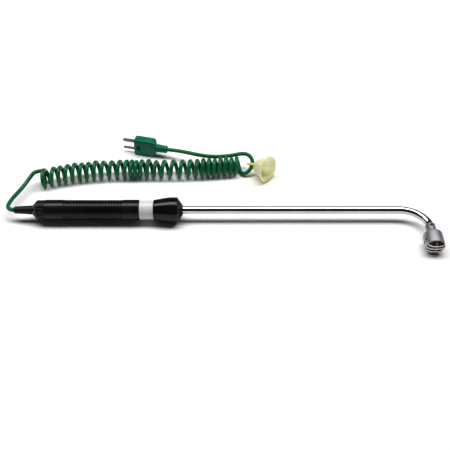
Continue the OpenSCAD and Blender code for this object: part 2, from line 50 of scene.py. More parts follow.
# ---------------------------------------------------------------- sizes, in millimetres, as in the CAD
# The handle and the rod lie along X. Sizes of the head ending in _Z run forwards from its collar's back face.
TAIL_X = -168.5
BOOT_LEN = 15.0
BOOT_ROOT_X = TAIL_X + BOOT_LEN
REAR_CAP_LEN = 10.3
GRIP_X = BOOT_ROOT_X + REAR_CAP_LEN
GRIP_LEN = 74.9
RING_X = GRIP_X + GRIP_LEN
RING_LEN = 11.3
KNOB_X = RING_X + RING_LEN
KNOB_LEN = 23.4
KNOB_R = 10.2
GRIP_R = 8.2
AXIS_Z = KNOB_R
ROD_R = 3.0
BEND_R = 23.0
BEND_TURN = math.radians(66)  # the turn of the bend's wide part, before the tight end
BEND_END_R = 10.0
CUP_R = 7.7
HEAD_X = 168.5 - CUP_R
ARM_ROLL = math.radians(3.4)  # the arm hangs down until the head touches the table
COLLAR_LEN = 10.0
MOUTH_Z = 23.0
TRAVEL = 2.2  # how far the sensor block is pressed in
FOOT_X = 5.0  # the strips' feet, in the block
BLOCK_Z = 16.2
CUP_FLOOR_Z = 12.0
FOOT_Z = BLOCK_Z + 2.4
PIN_Z = BLOCK_Z + 1.9  # the retaining pin
CREST_Z = 25.3  # the front of the strips
STRIP_W = 1.3
STRIP_T = 0.3
STRIP_FLAT = 1.8  # half of a strip's flat middle
STRIP_BOW = 4
STRIP_YS = (-2.9, 0.0, 2.9)
RIBBON_W = 1.1
RIBBON_T = 0.15
RIBBON_HALF = 5.2
RIBBON_CORNER = 1.5
RIBBON_Z = CREST_Z - 0.32
SPRING_R = 4.6
SPRING_WIRE = 0.3
SPRING_TURNS = 2
ARM_REACH = BEND_R * (1 - math.cos(BEND_TURN)) + BEND_END_R * math.cos(BEND_TURN)
AXIS_Y = ((ARM_REACH + CREST_Z) * math.cos(ARM_ROLL) - KNOB_R) / 2
CORD_R = 1.7
PLUG_AT = Vector((-51, 100.3, 7.9))
PLUG_YAW = math.radians(166)
PLUG_BOOT_LEN = 10.5
PLUG_L = 19.0
PLUG_W = 15.8
PLUG_T = 8.0
PLUG_GAP = 0.03  # from the joint's plane to each half
PLUG_RIM = 0.7  # how far the plug's rims are rounded
STRAP_AT = Vector((23.25, 77.4, 9))
STRAP_DIR = Vector((0.2, 0.69, 0.69)).normalized()
CAP_AT = Vector((27.2, 75.4, 9.45))
CAP_YAW = math.radians(-40)
CAP_PITCH = math.radians(9.5)
CAP_LEN = 12.5

# ---------------------------------------------------------------- camera

EYE = Vector((0, AXIS_Y - 471.75, 418.77)) * MM
LOOK_DOWN = 42
IMAGE_SIDE = 450
FOCAL_LENGTH = 780  # in pixels of the image
camera_data = bpy.data.cameras.new("camera")
camera_data.sensor_width = 36
camera_data.lens = 36 * FOCAL_LENGTH / IMAGE_SIDE
camera_data.clip_start = 0.01
camera_data.clip_end = 20
camera = bpy.data.objects.new("camera", camera_data)
camera.location = EYE
camera.rotation_euler = (math.radians(90 - LOOK_DOWN), 0, 0)
SCENE.collection.objects.link(camera)
SCENE.camera = camera


# ---------------------------------------------------------------- helpers for shapes

def smooth_line(points, per_span):
    """A Catmull-Rom line through the points, with per_span steps from each point to the next."""
    pts = [Vector(p) for p in points]
    ends = [2 * pts[0] - pts[1]] + pts + [2 * pts[-1] - pts[-2]]
    line = []
    for i in range(1, len(ends) - 2):
        a, b, c, d = ends[i - 1], ends[i], ends[i + 1], ends[i + 2]
        for k in range(per_span):
            t = k / per_span
            line.append(0.5 * (2 * b + (c - a) * t + (2 * a - 5 * b + 4 * c - d) * t ** 2
                               + (3 * b - a - 3 * c + d) * t ** 3))
    line.append(pts[-1])
    return line


def new_object(name, mesh, body, material):
    obj = bpy.data.objects.new(name, mesh)
    SCENE.collection.objects.link(obj)
    mesh.materials.append(material)
    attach(obj, body)
    return obj


def finish_mesh(bm, name, sharp=40):
    """Mesh data from bm, smooth apart from edges sharper than the given angle in degrees."""
    bmesh.ops.remove_doubles(bm, verts=bm.verts, dist=1e-7)
    bmesh.ops.recalc_face_normals(bm, faces=bm.faces)
    mesh = bpy.data.meshes.new(name)
    bm.to_mesh(mesh)
    bm.free()
    mesh.shade_smooth()
    mesh.set_sharp_from_angle(angle=math.radians(sharp))
    return mesh


def rounded(profile, steps=5):
    """Rounds a profile's corners. Each point is (distance, radius, corner radius); the ends stay."""
    out = []
    n = len(profile)
    for i, p in enumerate(profile):
        here = Vector(p[:2])
        r = p[2] if len(p) > 2 else 0
        if r <= 0 or i in (0, n - 1):
            out.append(here)
            continue
        back = Vector(profile[i - 1][:2]) - here
        on = Vector(profile[i + 1][:2]) - here
        cos_corner = max(-1, min(1, back.normalized().dot(on.normalized())))
        half = math.acos(cos_corner) / 2
        if half > math.radians(87):  # nearly straight, so there is no corner to round
            out.append(here)
            continue
        set_back = min(r / math.tan(half), 0.49 * back.length, 0.49 * on.length)
        a = here + back.normalized() * set_back
        b = here + on.normalized() * set_back
        for k in range(steps + 1):
            t = k / steps
            out.append((1 - t) ** 2 * a + 2 * t * (1 - t) * here + t ** 2 * b)
    return out


def lathe(profile, place, segments=96, closed=True, flute=None):
    """A turned solid as a bmesh, from (distance, radius) points. place maps (x, y, z), with z along the
    axis, to the frame in metres. flute gives the depth cut off the radius at an angle and a distance."""
    bm = bmesh.new()
    rings = []
    for d, r in profile:
        if r < 1e-6:
            rings.append([bm.verts.new(place(Vector((0, 0, d))))] * segments)
            continue
        ring = []
        for k in range(segments):
            a = 2 * math.pi * k / segments
            rr = r - (flute(a, d) if flute else 0)
            ring.append(bm.verts.new(place(Vector((rr * math.cos(a), rr * math.sin(a), d)))))
        rings.append(ring)
    pairs = list(zip(rings, rings[1:]))
    if closed:
        pairs.append((rings[-1], rings[0]))
    for low, high in pairs:
        for k in range(segments):
            j = (k + 1) % segments
            corners = []
            for v in (low[k], low[j], high[j], high[k]):
                if v not in corners:
                    corners.append(v)
            if len(corners) > 2:
                bm.faces.new(corners)
    return bm


def on_axis(x0):
    """Places a turned piece on the handle's axis, with z forwards along +X from x0."""
    return lambda v: Vector((x0 + v.z, AXIS_Y + v.y, AXIS_Z - v.x)) * MM


ARM = Matrix.Translation((0, AXIS_Y, AXIS_Z)) @ Matrix.Rotation(ARM_ROLL, 4, "X")


def in_arm(v):
    return (ARM @ Vector(v)) * MM


def in_head(v):
    """Head frame: z forwards out of the cup, y up, from the collar's back face."""
    return in_arm((HEAD_X + v[0], -ARM_REACH - v[2], v[1]))


PLUG = Matrix.Translation(PLUG_AT) @ Matrix.Rotation(PLUG_YAW, 4, "Z")


def in_plug(v):
    return (PLUG @ Vector(v)) * MM


CAP = (Matrix.Translation(CAP_AT) @ Matrix.Rotation(CAP_YAW, 4, "Z")
       @ Matrix.Rotation(math.pi / 2 - CAP_PITCH, 4, "Y"))


def in_cap(v):
    return (CAP @ Vector(v)) * MM


def swept(points, section, scale=None):
    """A bmesh of a flat section, a list of (side, up), swept along points of the frame in millimetres."""
    bm = bmesh.new()
    rings = []
    side = None
    for i, p in enumerate(points):
        t = (points[min(i + 1, len(points) - 1)] - points[max(i - 1, 0)]).normalized()
        if side is None:
            ref = Vector((0, 0, 1)) if abs(t.z) < 0.9 else Vector((1, 0, 0))
            side = t.cross(ref).normalized()
        side = (side - t * side.dot(t)).normalized()
        up = side.cross(t)
        s = scale(i / (len(points) - 1)) if scale else 1
        rings.append([bm.verts.new((p + s * (a * side + b * up)) * MM) for a, b in section])
    n = len(section)
    for low, high in zip(rings, rings[1:]):
        for k in range(n):
            j = (k + 1) % n
            bm.faces.new((low[k], low[j], high[j], high[k]))
    bm.faces.new(rings[0][::-1])
    bm.faces.new(rings[-1])
    return bm


def disc(r, n):
    return [(r * math.cos(2 * math.pi * k / n), r * math.sin(2 * math.pi * k / n)) for k in range(n)]


def cut_out(obj, bm):
    """Cuts the closed shape bm out of obj."""
    mesh = bpy.data.meshes.new("cutter")
    bmesh.ops.recalc_face_normals(bm, faces=bm.faces)
    bm.to_mesh(mesh)
    bm.free()
    tool = bpy.data.objects.new("cutter", mesh)
    SCENE.collection.objects.link(tool)
    mod = obj.modifiers.new("cut", "BOOLEAN")
    mod.operation = "DIFFERENCE"
    mod.solver = "EXACT"
    mod.object = tool
    depsgraph = bpy.context.evaluated_depsgraph_get()
    result = bpy.data.meshes.new_from_object(obj.evaluated_get(depsgraph))
    obj.modifiers.remove(mod)
    old = obj.data
    name = old.name
    obj.data = result
    bpy.data.meshes.remove(old)
    result.name = name
    bpy.data.objects.remove(tool)
    bpy.data.meshes.remove(mesh)
    result.shade_smooth()
    result.set_sharp_from_angle(angle=math.radians(35))


def drill(obj, a, b, r):
    """Cuts a round hole of radius r through obj from a to b, all in metres."""
    bm = bmesh.new()
    turn = (b - a).normalized().to_track_quat("Z", "Y").to_matrix().to_4x4()
    bmesh.ops.create_cone(bm, cap_ends=True, segments=40, radius1=r, radius2=r, depth=(b - a).length,
                          matrix=Matrix.Translation((a + b) / 2) @ turn)
    cut_out(obj, bm)


# ---------------------------------------------------------------- materials

def node_material(name):
    m = bpy.data.materials.new(name)
    m.use_nodes = True
    tree = m.node_tree
    return m, tree.nodes, tree.links, tree.nodes["Principled BSDF"]


def noise(nodes, links, scale, detail=4.0, stretch=(1, 1, 1)):
    """Noise over the piece's own coordinates, scale in features per metre."""
    coords = nodes.new("ShaderNodeTexCoord")
    mapping = nodes.new("ShaderNodeMapping")
    mapping.inputs["Scale"].default_value = stretch
    tex = nodes.new("ShaderNodeTexNoise")
    tex.inputs["Scale"].default_value = scale
    tex.inputs["Detail"].default_value = detail
    links.new(coords.outputs["Object"], mapping.inputs["Vector"])
    links.new(mapping.outputs["Vector"], tex.inputs["Vector"])
    return tex.outputs["Fac"]


def spread(nodes, links, value, low, high):
    """Maps the middle of a noise value to the range from low to high."""
    ramp = nodes.new("ShaderNodeMapRange")
    ramp.inputs["From Min"].default_value = 0.35
    ramp.inputs["From Max"].default_value = 0.65
    ramp.inputs["To Min"].default_value = low
    ramp.inputs["To Max"].default_value = high
    links.new(value, ramp.inputs["Value"])
    return ramp.outputs["Result"]


def two_tone(nodes, links, value, first, second):
    """A colour that goes from first to second over the middle of a noise value."""
    ramp = nodes.new("ShaderNodeValToRGB")
    ramp.color_ramp.elements[0].position = 0.36
    ramp.color_ramp.elements[0].color = (*first, 1)
    ramp.color_ramp.elements[1].position = 0.64
    ramp.color_ramp.elements[1].color = (*second, 1)
    links.new(value, ramp.inputs["Fac"])
    return ramp.outputs["Color"]


def bumped(nodes, links, bsdf, value, strength, distance):
    bump = nodes.new("ShaderNodeBump")
    bump.inputs["Strength"].default_value = strength
    bump.inputs["Distance"].default_value = distance
    links.new(value, bump.inputs["Height"])
    links.new(bump.outputs["Normal"], bsdf.inputs["Normal"])


def surface(name, dark, light, rough, grain=900, metal=0.0, coat=0.0, bump=0.1, depth=0.00005,
            stretch=(1, 1, 1), specular=0.5, patch=60):
    """A moulded or metal surface: two close tones in patches, and a fine grain in roughness and bump."""
    m, nodes, links, bsdf = node_material(name)
    patches = noise(nodes, links, patch, 3.0)
    grains = noise(nodes, links, grain, 5.0, stretch)
    links.new(two_tone(nodes, links, patches, dark, light), bsdf.inputs["Base Color"])
    links.new(spread(nodes, links, grains, rough[0], rough[1]), bsdf.inputs["Roughness"])
    bsdf.inputs["Metallic"].default_value = metal
    bsdf.inputs["Specular IOR Level"].default_value = specular
    bsdf.inputs["Coat Weight"].default_value = coat
    bsdf.inputs["Coat Roughness"].default_value = 0.12
    bumped(nodes, links, bsdf, grains, bump, depth)
    return m


GLOSS_BLACK = surface("gloss_black", (0.004, 0.004, 0.0045), (0.007, 0.007, 0.0075), (0.14, 0.2), 1400,
                      bump=0.04, specular=0.3)
RIB_BLACK = surface("grip_black", (0.004, 0.004, 0.0045), (0.008, 0.008, 0.0085), (0.22, 0.3), 1600,
                    bump=0.06, specular=0.28)
RUBBER = surface("boot_rubber", (0.006, 0.006, 0.006), (0.012, 0.012, 0.012), (0.4, 0.55), 2200,
                 bump=0.15, specular=0.25)
WHITE = surface("ring_white", (0.62, 0.62, 0.62), (0.66, 0.66, 0.655), (0.3, 0.4), 1200, bump=0.06)
SCREW_BLACK = surface("screw_black", (0.012, 0.012, 0.013), (0.03, 0.03, 0.032), (0.35, 0.5), 3000,
                      metal=0.6)
CHROME = surface("rod_chrome", (0.52, 0.525, 0.53), (0.58, 0.585, 0.59), (0.06, 0.12), 900, metal=1.0,
                 bump=0.03, depth=0.00002, stretch=(0.15, 1, 1))
SATIN = surface("head_satin", (0.3, 0.315, 0.335), (0.37, 0.38, 0.395), (0.4, 0.52), 2600, metal=1.0,
                bump=0.12, depth=0.00003, stretch=(1, 6, 1))
STRIP = surface("strip_metal", (0.48, 0.45, 0.42), (0.6, 0.57, 0.54), (0.26, 0.38), 2400, metal=1.0,
                bump=0.08, depth=0.00003)
RIBBON = surface("ribbon_metal", (0.2, 0.145, 0.11), (0.27, 0.2, 0.155), (0.34, 0.46), 2400, metal=1.0,
                 bump=0.08, depth=0.00003)
BLADE = surface("blade_metal", (0.15, 0.13, 0.12), (0.22, 0.195, 0.18), (0.3, 0.42), 2400, metal=1.0,
                bump=0.1, depth=0.00003)
STEEL = surface("small_steel", (0.5, 0.5, 0.51), (0.6, 0.6, 0.61), (0.28, 0.4), 2200, metal=1.0,
                bump=0.1, depth=0.00003)
BRASS = surface("brass_turned", (0.55, 0.38, 0.14), (0.63, 0.45, 0.19), (0.25, 0.35), 1800, metal=1.0)
# The sensor block's dark brown-black is partly its own colour and partly painted shade, standing in for the
# shade deep inside the cup.
CERAMIC_AND_PAINTED_SHADE = surface("ceramic_dark", (0.02, 0.014, 0.01), (0.045, 0.03, 0.02), (0.6, 0.8), 2400, bump=0.25)
SLEEVE = surface("sleeve_white", (0.7, 0.66, 0.55), (0.8, 0.77, 0.68), (0.5, 0.65), 2000)
YELLOW_WIRE = surface("wire_yellow", (0.62, 0.4, 0.02), (0.72, 0.5, 0.04), (0.35, 0.45), 2000)
RED_WIRE = surface("wire_red", (0.4, 0.02, 0.015), (0.5, 0.03, 0.02), (0.35, 0.45), 2000)
CORD_GREEN = surface("cord_green", (0.003, 0.12, 0.042), (0.006, 0.16, 0.06), (0.2, 0.3), 1300, bump=0.05,
                     specular=0.25)
PLUG_GREEN = surface("plug_green", (0.002, 0.15, 0.082), (0.004, 0.19, 0.105), (0.28, 0.4), 2600, bump=0.14,
                     specular=0.22, patch=120)


def soft_cap_material():
    """Translucent pale yellow rubber, a little cloudy, with a smooth skin."""
    m, nodes, links, bsdf = node_material("cap_rubber")
    patches = noise(nodes, links, 220, 3.0)
    links.new(two_tone(nodes, links, patches, (1.0, 0.99, 0.36), (1.0, 1.0, 0.52)), bsdf.inputs["Base Color"])
    grains = noise(nodes, links, 1500, 4.0)
    links.new(spread(nodes, links, grains, 0.28, 0.36), bsdf.inputs["Roughness"])
    bsdf.inputs["IOR"].default_value = 1.2
    bsdf.inputs["Transmission Weight"].default_value = 0.1
    bsdf.inputs["Subsurface Weight"].default_value = 1.0
    bsdf.inputs["Subsurface Radius"].default_value = (0.009, 0.0088, 0.0075)
    bsdf.inputs["Subsurface Scale"].default_value = 1.0
    bumped(nodes, links, bsdf, patches, 0.05, 0.00003)
    return m


CAP_RUBBER = soft_cap_material()
STRAP_RUBBER = surface("strap_rubber", (0.72, 0.66, 0.1), (0.82, 0.78, 0.22), (0.32, 0.42), 1500, bump=0.03)
strap_inputs = STRAP_RUBBER.node_tree.nodes["Principled BSDF"].inputs
strap_inputs["Subsurface Weight"].default_value = 0.6
strap_inputs["Subsurface Radius"].default_value = (0.004, 0.0035, 0.001)

# ---------------------------------------------------------------- the cord, in one line from boot to plug

# Points of the cord in millimetres: from the boot, the middle of the curly part from above, and on to the plug
LEAD = [
    (TAIL_X + 0.6, AXIS_Y, AXIS_Z), (-171.2, 16.9, 10.1), (-173.7, 19, 9.8), (-174.9, 22.3, 9.4),
    (-174.8, 27, 8.8), (-173.6, 33.5, 8.1), (-171.6, 39.5, 7.8), (-169.2, 45.5, 7.9), (-166.6, 51.5, 8.7),
    (-163.6, 57.5, 10.6), (-160.2, 61.9, 12.5),
]
COIL = [
    (-153.2, 59.9), (-146, 62.6), (-134, 66.4), (-116, 70.2), (-96, 72.2), (-72, 72.8), (-46, 72.6),
    (-26, 73.8), (-8, 75.4), (12.5, 77.6),
]
RETURN = [
    (14.8, 74.2, 2), (17.6, 72.6, 3.2), (20.8, 73.8, 5.4), (22.9, 76.2, 7.8), (23.6, 78.6, 10.2),
    (22.8, 81.6, 12.4), (20.2, 84.4, 13.8), (16.4, 86.4, 13.8), (11, 87.2, 12.6), (4, 86.4, 11.7),
    (-6, 85.4, 11.5), (-15, 85.8, 11.6), (-24, 88.6, 11.2), (-32, 92.6, 10.2), (-40, 96.6, 9),
    (-46, 99, 8.2), (-51, 100.3, 7.9), (-55, 101.3, 7.9),
]
COIL_Z = 8.0
COIL_R = 6.3
COIL_TILT = math.radians(42)  # the angle round the coil at which a turn leans over most
SKEW = 0.15
LEAN = 0.5
STEPS_PER_TURN = 20
TURN_START = 50 / 360
TURN_END = 29.5


def hump(u, middle, width):
    return math.exp(-((u - middle) / width) ** 2)


def step_up(u, middle, width):
    return 1 / (1 + math.exp(-(u - middle) / width))


def pitch(u):
    """How far apart the turns lie, along the coil from 0 to 1: bunched in places, spread in others."""
    wide = 0.12 * hump(u, 0.32, 0.06)
    bunched = 0.36 * hump(u, 0.45, 0.045)
    spread_out = 0.32 * hump(u, 0.65, 0.06)
    tail = 0.24 * step_up(u, 0.77, 0.02)
    begin = step_up(u, 0.025, 0.003)
    first = 0.5 * hump(u, 0.042, 0.013) - 0.26 * hump(u, 0.082, 0.018)
    return begin * (1.06 + wide - bunched + spread_out - tail + first + 0.04 * math.sin(23 * u))


def coil_line():
    """The curly part's turns, a little uneven, on a line through COIL with the steps that pitch gives."""
    middle = smooth_line([(x, y, COIL_Z) for x, y in COIL], 12)
    count = round((TURN_END - TURN_START) * STEPS_PER_TURN)
    weights = [pitch(i / count) for i in range(count)]
    total = sum(weights)
    x0, x1 = COIL[0][0], COIL[-1][0]
    line, run = [], 0.0
    for i in range(count + 1):
        u = i / count
        x = x0 + (x1 - x0) * run / total
        if i < count:
            run += weights[i]
        k = max(1, next((j for j, p in enumerate(middle) if p.x >= x), len(middle) - 1))
        a, b = middle[k - 1], middle[k]
        y = a.y + (b.y - a.y) * (x - a.x) / (b.x - a.x)
        slope = (b.y - a.y) / (b.x - a.x)
        turn = TURN_START + (TURN_END - TURN_START) * u
        angle = 2 * math.pi * turn
        r = COIL_R + 0.18 * math.sin(1.7 * turn) + 0.12 * math.sin(3.9 * turn + 1)
        lean = LEAN * (1 + 0.3 * math.sin(0.9 * turn + 0.4)) * math.cos(angle - COIL_TILT)
        side, up = r * math.sin(angle), r * math.cos(angle)
        line.append(Vector((x - SKEW * slope * side - lean, y + side, COIL_Z + up + r - COIL_R)))
    return line


turns = coil_line()
lead_in = smooth_line(LEAD + [tuple(turns[0])], 4)[:-1]
lead_out = smooth_line([tuple(turns[-1])] + RETURN, 4)[1:]
in_boot = Vector((TAIL_X + 5, AXIS_Y, AXIS_Z))
cord_line = [in_boot] + lead_in + turns + lead_out
curve = bpy.data.curves.new("cord", "CURVE")
curve.dimensions = "3D"
curve.bevel_depth = CORD_R * MM
curve.bevel_resolution = 5
curve.use_fill_caps = True
spline = curve.splines.new("POLY")
spline.points.add(len(cord_line) - 1)
for point, p in zip(spline.points, cord_line):
    point.co = (*(p * MM), 1)
spline.use_smooth = True
cord = bpy.data.objects.new("cord", curve)
SCENE.collection.objects.link(cord)
curve.materials.append(CORD_GREEN)
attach(cord, "probe")
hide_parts("cord_lead", "cord_coil", "cord_return")

# ---------------------------------------------------------------- handle

boot_profile = rounded([
    (0.9, 1.75), (0, 1.85, 0.2), (0, 2.7, 0.6), (3, 2.95, 4), (BOOT_LEN - 0.6, 3.68, 0.2),
    (BOOT_LEN - 0.05, 3.68, 0.1), (BOOT_LEN - 0.05, 3.4), (BOOT_LEN + 2.05, 3.4), (BOOT_LEN + 2.05, 4.8),
    (BOOT_LEN + 3.5, 4.8), (BOOT_LEN + 3.5, 1.75)])
boot = new_object("boot", finish_mesh(lathe(boot_profile, on_axis(TAIL_X)), "boot"), "probe",
                  RUBBER)
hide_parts("cord_boot")


def flutes(a, d):
    """Moulded finger flutes round the rear cap, fading out at both ends."""
    fade = max(0, min(1, (d - 4.2) / 0.7)) * max(0, min(1, (9.9 - d) / 0.7))
    return 0.42 * fade * max(0, math.cos(18 * a)) ** 4


REAR_CAP_R = GRIP_R - 0.25
rear_profile = rounded([
    (2, 3.45), (0, 3.45, 0.05), (0, 4.1, 0.3), (3.1, REAR_CAP_R - 0.6, 0.5), (3.8, REAR_CAP_R, 0.5)])
rear_profile += [Vector((4.2 + 0.24 * k, REAR_CAP_R)) for k in range(1, 24)]
rear_profile += rounded([(9.95, REAR_CAP_R), (REAR_CAP_LEN, REAR_CAP_R - 0.3, 0.1), (REAR_CAP_LEN, 6.15),
                         (REAR_CAP_LEN + 6, 6.15), (REAR_CAP_LEN + 6, 4.9), (2, 4.9)])
rear_bm = lathe(rear_profile, on_axis(BOOT_ROOT_X), 216, flute=flutes)
rear = new_object("rear_collar", finish_mesh(rear_bm, "rear_collar", 50), "probe", GLOSS_BLACK)
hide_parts("rear_cap")

RIB_START, RIB_PITCH, RIBS = 15.2, 2.3, 20
GROOVE_R = GRIP_R - 0.5
grip_profile = [(0, 6.2), (0, GRIP_R - 0.3, 0.1), (0.3, GRIP_R, 0.2), (RIB_START - 0.6, GRIP_R, 0.15),
                (RIB_START - 0.3, GROOVE_R, 0.15)]
for i in range(RIBS):
    x = RIB_START + i * RIB_PITCH
    grip_profile += [(x, GROOVE_R, 0.15), (x + 0.35, GRIP_R, 0.3), (x + 1.15, GRIP_R, 0.3),
                     (x + 1.5, GROOVE_R, 0.15)]
rib_end = RIB_START + RIBS * RIB_PITCH
grip_profile += [(rib_end - 0.4, GROOVE_R, 0.15), (rib_end, GRIP_R, 0.25), (rib_end + 5, GRIP_R + 0.02, 0),
                 (GRIP_LEN - 0.5, GRIP_R, 0.4), (GRIP_LEN, GRIP_R - 0.5, 0.1), (GRIP_LEN, 6.2)]
grip_bm = lathe(rounded(grip_profile, 4), on_axis(GRIP_X), 128)
grip = new_object("grip_ribbed", finish_mesh(grip_bm, "grip", 60), "probe", RIB_BLACK)
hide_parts("grip")

ring_profile = rounded([
    (0.05, 5.05), (0.05, 7.65, 0.5), (1.2, 7.68, 0), (RING_LEN - 1.2, 7.68, 0), (RING_LEN - 0.05, 7.65, 0.5),
    (RING_LEN - 0.05, 5.05)])
ring = new_object("ring_white", finish_mesh(lathe(ring_profile, on_axis(RING_X)), "ring"), "probe",
                  WHITE)
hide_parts("spacer_ring")

SPIGOT_X = -RING_LEN - 5
knob_profile = rounded([
    (SPIGOT_X, 3.05), (SPIGOT_X, 4.98, 0.3), (0, 4.98), (0, 8.05, 0.5), (5, 8.95, 6), (9.5, 9.75, 8),
    (13.2, KNOB_R, 2.5), (19, KNOB_R, 0.8), (KNOB_LEN - 0.2, 4, 0.4), (KNOB_LEN, 3.6, 0.1), (KNOB_LEN, 3.05)])
knob = new_object("knob_front", finish_mesh(lathe(knob_profile, on_axis(KNOB_X), 128), "knob"), "probe",
                  GLOSS_BLACK)
KNOB_SCREW_X = KNOB_X + 15.6
KNOB_SCREW_R = 1.35
drill(knob, Vector((KNOB_SCREW_X, AXIS_Y, AXIS_Z + 5.5)) * MM, Vector((KNOB_SCREW_X, AXIS_Y, AXIS_Z + 12)) * MM,
      KNOB_SCREW_R * MM)
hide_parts("front_knob")

# ---------------------------------------------------------------- rod

ROD_START_X = RING_X - 17
ROD_IN_COLLAR = 6
bend_x = HEAD_X - BEND_R * math.sin(BEND_TURN) - BEND_END_R * (1 - math.sin(BEND_TURN))


def rod_line():
    """The rod's middle line: straight, then a wide bend, a tighter one, and a short end in the collar."""
    line = [Vector((x, 0, 0)) for x in (ROD_START_X, -20, 20, 60, 100, bend_x)]
    wide_steps, tight_steps = 40, 20
    for k in range(1, wide_steps + 1):
        a = BEND_TURN * k / wide_steps
        line.append(Vector((bend_x + BEND_R * math.sin(a), -BEND_R * (1 - math.cos(a)), 0)))
    centre = line[-1] - BEND_END_R * Vector((math.sin(BEND_TURN), math.cos(BEND_TURN), 0))
    for k in range(1, tight_steps + 1):
        a = BEND_TURN + (math.pi / 2 - BEND_TURN) * k / tight_steps
        line.append(centre + BEND_END_R * Vector((math.sin(a), math.cos(a), 0)))
    line.append(line[-1] + Vector((0, -ROD_IN_COLLAR, 0)))
    return [ARM @ p for p in line]


rod = new_object("rod_bent", finish_mesh(swept(rod_line(), disc(ROD_R, 48)), "rod", 50), "probe",
                 CHROME)
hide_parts("probe_rod")

# ---------------------------------------------------------------- head

head_profile = rounded([
    (0, 3.05), (0, 4, 0.35), (COLLAR_LEN, 4, 0.25), (COLLAR_LEN, CUP_R, 3.0), (MOUTH_Z - 0.9, CUP_R, 0.3),
    (MOUTH_Z, CUP_R - 0.45, 0.15), (MOUTH_Z, 6.95, 0.1), (CUP_FLOOR_Z, 6.9), (CUP_FLOOR_Z, 2.2),
    (6.05, 2.2), (6.05, 3.05)], 8)
head = new_object("head_barrel", finish_mesh(lathe(head_profile, in_head, 128), "head_barrel", 42), "probe",
                  SATIN)
HEAD_SCREW_Z = 2.4
HEAD_SCREW_R = 1.25
drill(head, in_head((0, 2.6, HEAD_SCREW_Z)), in_head((0, 6, HEAD_SCREW_Z)), HEAD_SCREW_R * MM)


def slot_cutter(outline, place):
    """A prism for cutting a slot. place maps (u, z, w) to the frame in metres, with w through the wall."""
    bm = bmesh.new()
    near = [bm.verts.new(place(u, z, 0)) for u, z in outline]
    far = [bm.verts.new(place(u, z, 1)) for u, z in outline]
    bm.faces.new(near)
    bm.faces.new(far[::-1])
    for k in range(len(outline)):
        j = (k + 1) % len(outline)
        bm.faces.new((near[k], far[k], far[j], near[j]))
    return bm


# Six open slots for the strips' legs, and a closed one in the underside for the retaining pin
SLOT_HALF = STRIP_W / 2 + 0.2
SLOT_Z = FOOT_Z - TRAVEL - 0.3
SLOT_CUT = 4  # the cutters' depth, which goes right through the wall
LEG_CUT_X = 5
PIN_CUT_Y = -5.7
PIN_SLOT_R = 0.8
for side in (-1, 1):
    for mid in STRIP_YS:
        outline = [(mid + SLOT_HALF, MOUTH_Z + 1), (mid - SLOT_HALF, MOUTH_Z + 1), (mid - SLOT_HALF, SLOT_Z),
                   (mid + SLOT_HALF, SLOT_Z)]
        cut_out(head, slot_cutter(outline, lambda u, z, w: in_head((side * (LEG_CUT_X + SLOT_CUT * w), u, z))))
stadium = []
for k in range(32):
    a = 2 * math.pi * (k + 0.5) / 32
    end_z = PIN_Z - (0 if math.cos(a) > 0 else TRAVEL)
    stadium.append((PIN_SLOT_R * math.sin(a), end_z + PIN_SLOT_R * math.cos(a)))
cut_out(head, slot_cutter(stadium, lambda u, z, w: in_head((u, PIN_CUT_Y - SLOT_CUT * w, z))))
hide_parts("head_cup")


def mirrored(left):
    return left + [(-x, z) for x, z in reversed(left)]


def strip_line(half):
    """A strip's outer line of (x, z): foot, leg and bow over the mouth, and the same on the right."""
    left = [(-FOOT_X, FOOT_Z), (-half + 0.35, FOOT_Z), (-half + 0.1, FOOT_Z + 0.1), (-half, FOOT_Z + 0.35)]
    for k in range(15):
        a = math.pi / 2 * k / 14
        left.append((-STRIP_FLAT - (half - STRIP_FLAT) * math.cos(a),
                     CREST_Z - STRIP_BOW + STRIP_BOW * math.sin(a)))
    return mirrored(left)


def ribbon_line():
    """The sensing ribbon's outer line: a flat front with round corners, and two legs in the block."""
    left = [(-RIBBON_HALF, BLOCK_Z + 2.5)]
    for k in range(9):
        a = math.pi / 2 * k / 8
        left.append((-RIBBON_HALF + RIBBON_CORNER * (1 - math.cos(a)),
                     RIBBON_Z - RIBBON_CORNER + RIBBON_CORNER * math.sin(a)))
    return mirrored(left)


def band(name, line, y, width, thick, place, node, material):
    """A flat metal band with broken edges along an outer line of (x, z), riding with the sensor."""
    bm = bmesh.new()
    edge = min(width, thick) * 0.3
    rows = []
    for i, (x, z) in enumerate(line):
        t = (Vector(line[min(i + 1, len(line) - 1)]) - Vector(line[max(i - 1, 0)])).normalized()
        out = Vector((-t.y, t.x))
        rows.append([bm.verts.new(place((x + out.x * dn, y + dy, z + out.y * dn))) for dy, dn in (
            (-width / 2, -edge), (-width / 2 + edge, 0), (width / 2 - edge, 0), (width / 2, -edge),
            (width / 2, edge - thick), (width / 2 - edge, -thick), (edge - width / 2, -thick),
            (-width / 2, edge - thick))])
    for low, high in zip(rows, rows[1:]):
        for k in range(8):
            j = (k + 1) % 8
            bm.faces.new((low[k], low[j], high[j], high[k]))
    bm.faces.new(rows[0][::-1])
    bm.faces.new(rows[-1])
    obj = new_object(name, finish_mesh(bm, name, 50), "sensor", material)
    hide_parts(node)


for node, mid in zip(("strip_lower", "strip_middle", "strip_upper"), STRIP_YS):
    half = math.sqrt((CUP_R - 0.15) ** 2 - (abs(mid) + STRIP_W / 2) ** 2)
    band("spring_" + node, strip_line(half), mid, STRIP_W, STRIP_T, in_head, node, STRIP)
ribbon = ribbon_line()
for node, part in (("ribbon_positive", [p for p in ribbon if p[0] > 0]),
                   ("ribbon_negative", [p for p in ribbon if p[0] < 0])):
    join = (math.copysign(0.01, part[0][0]), RIBBON_Z)
    part = [join] + part if join[0] > 0 else part + [join]
    band("sense_" + node, part, 0, RIBBON_W, RIBBON_T, lambda p: in_head((-p[1], p[0], p[2])), node, RIBBON)
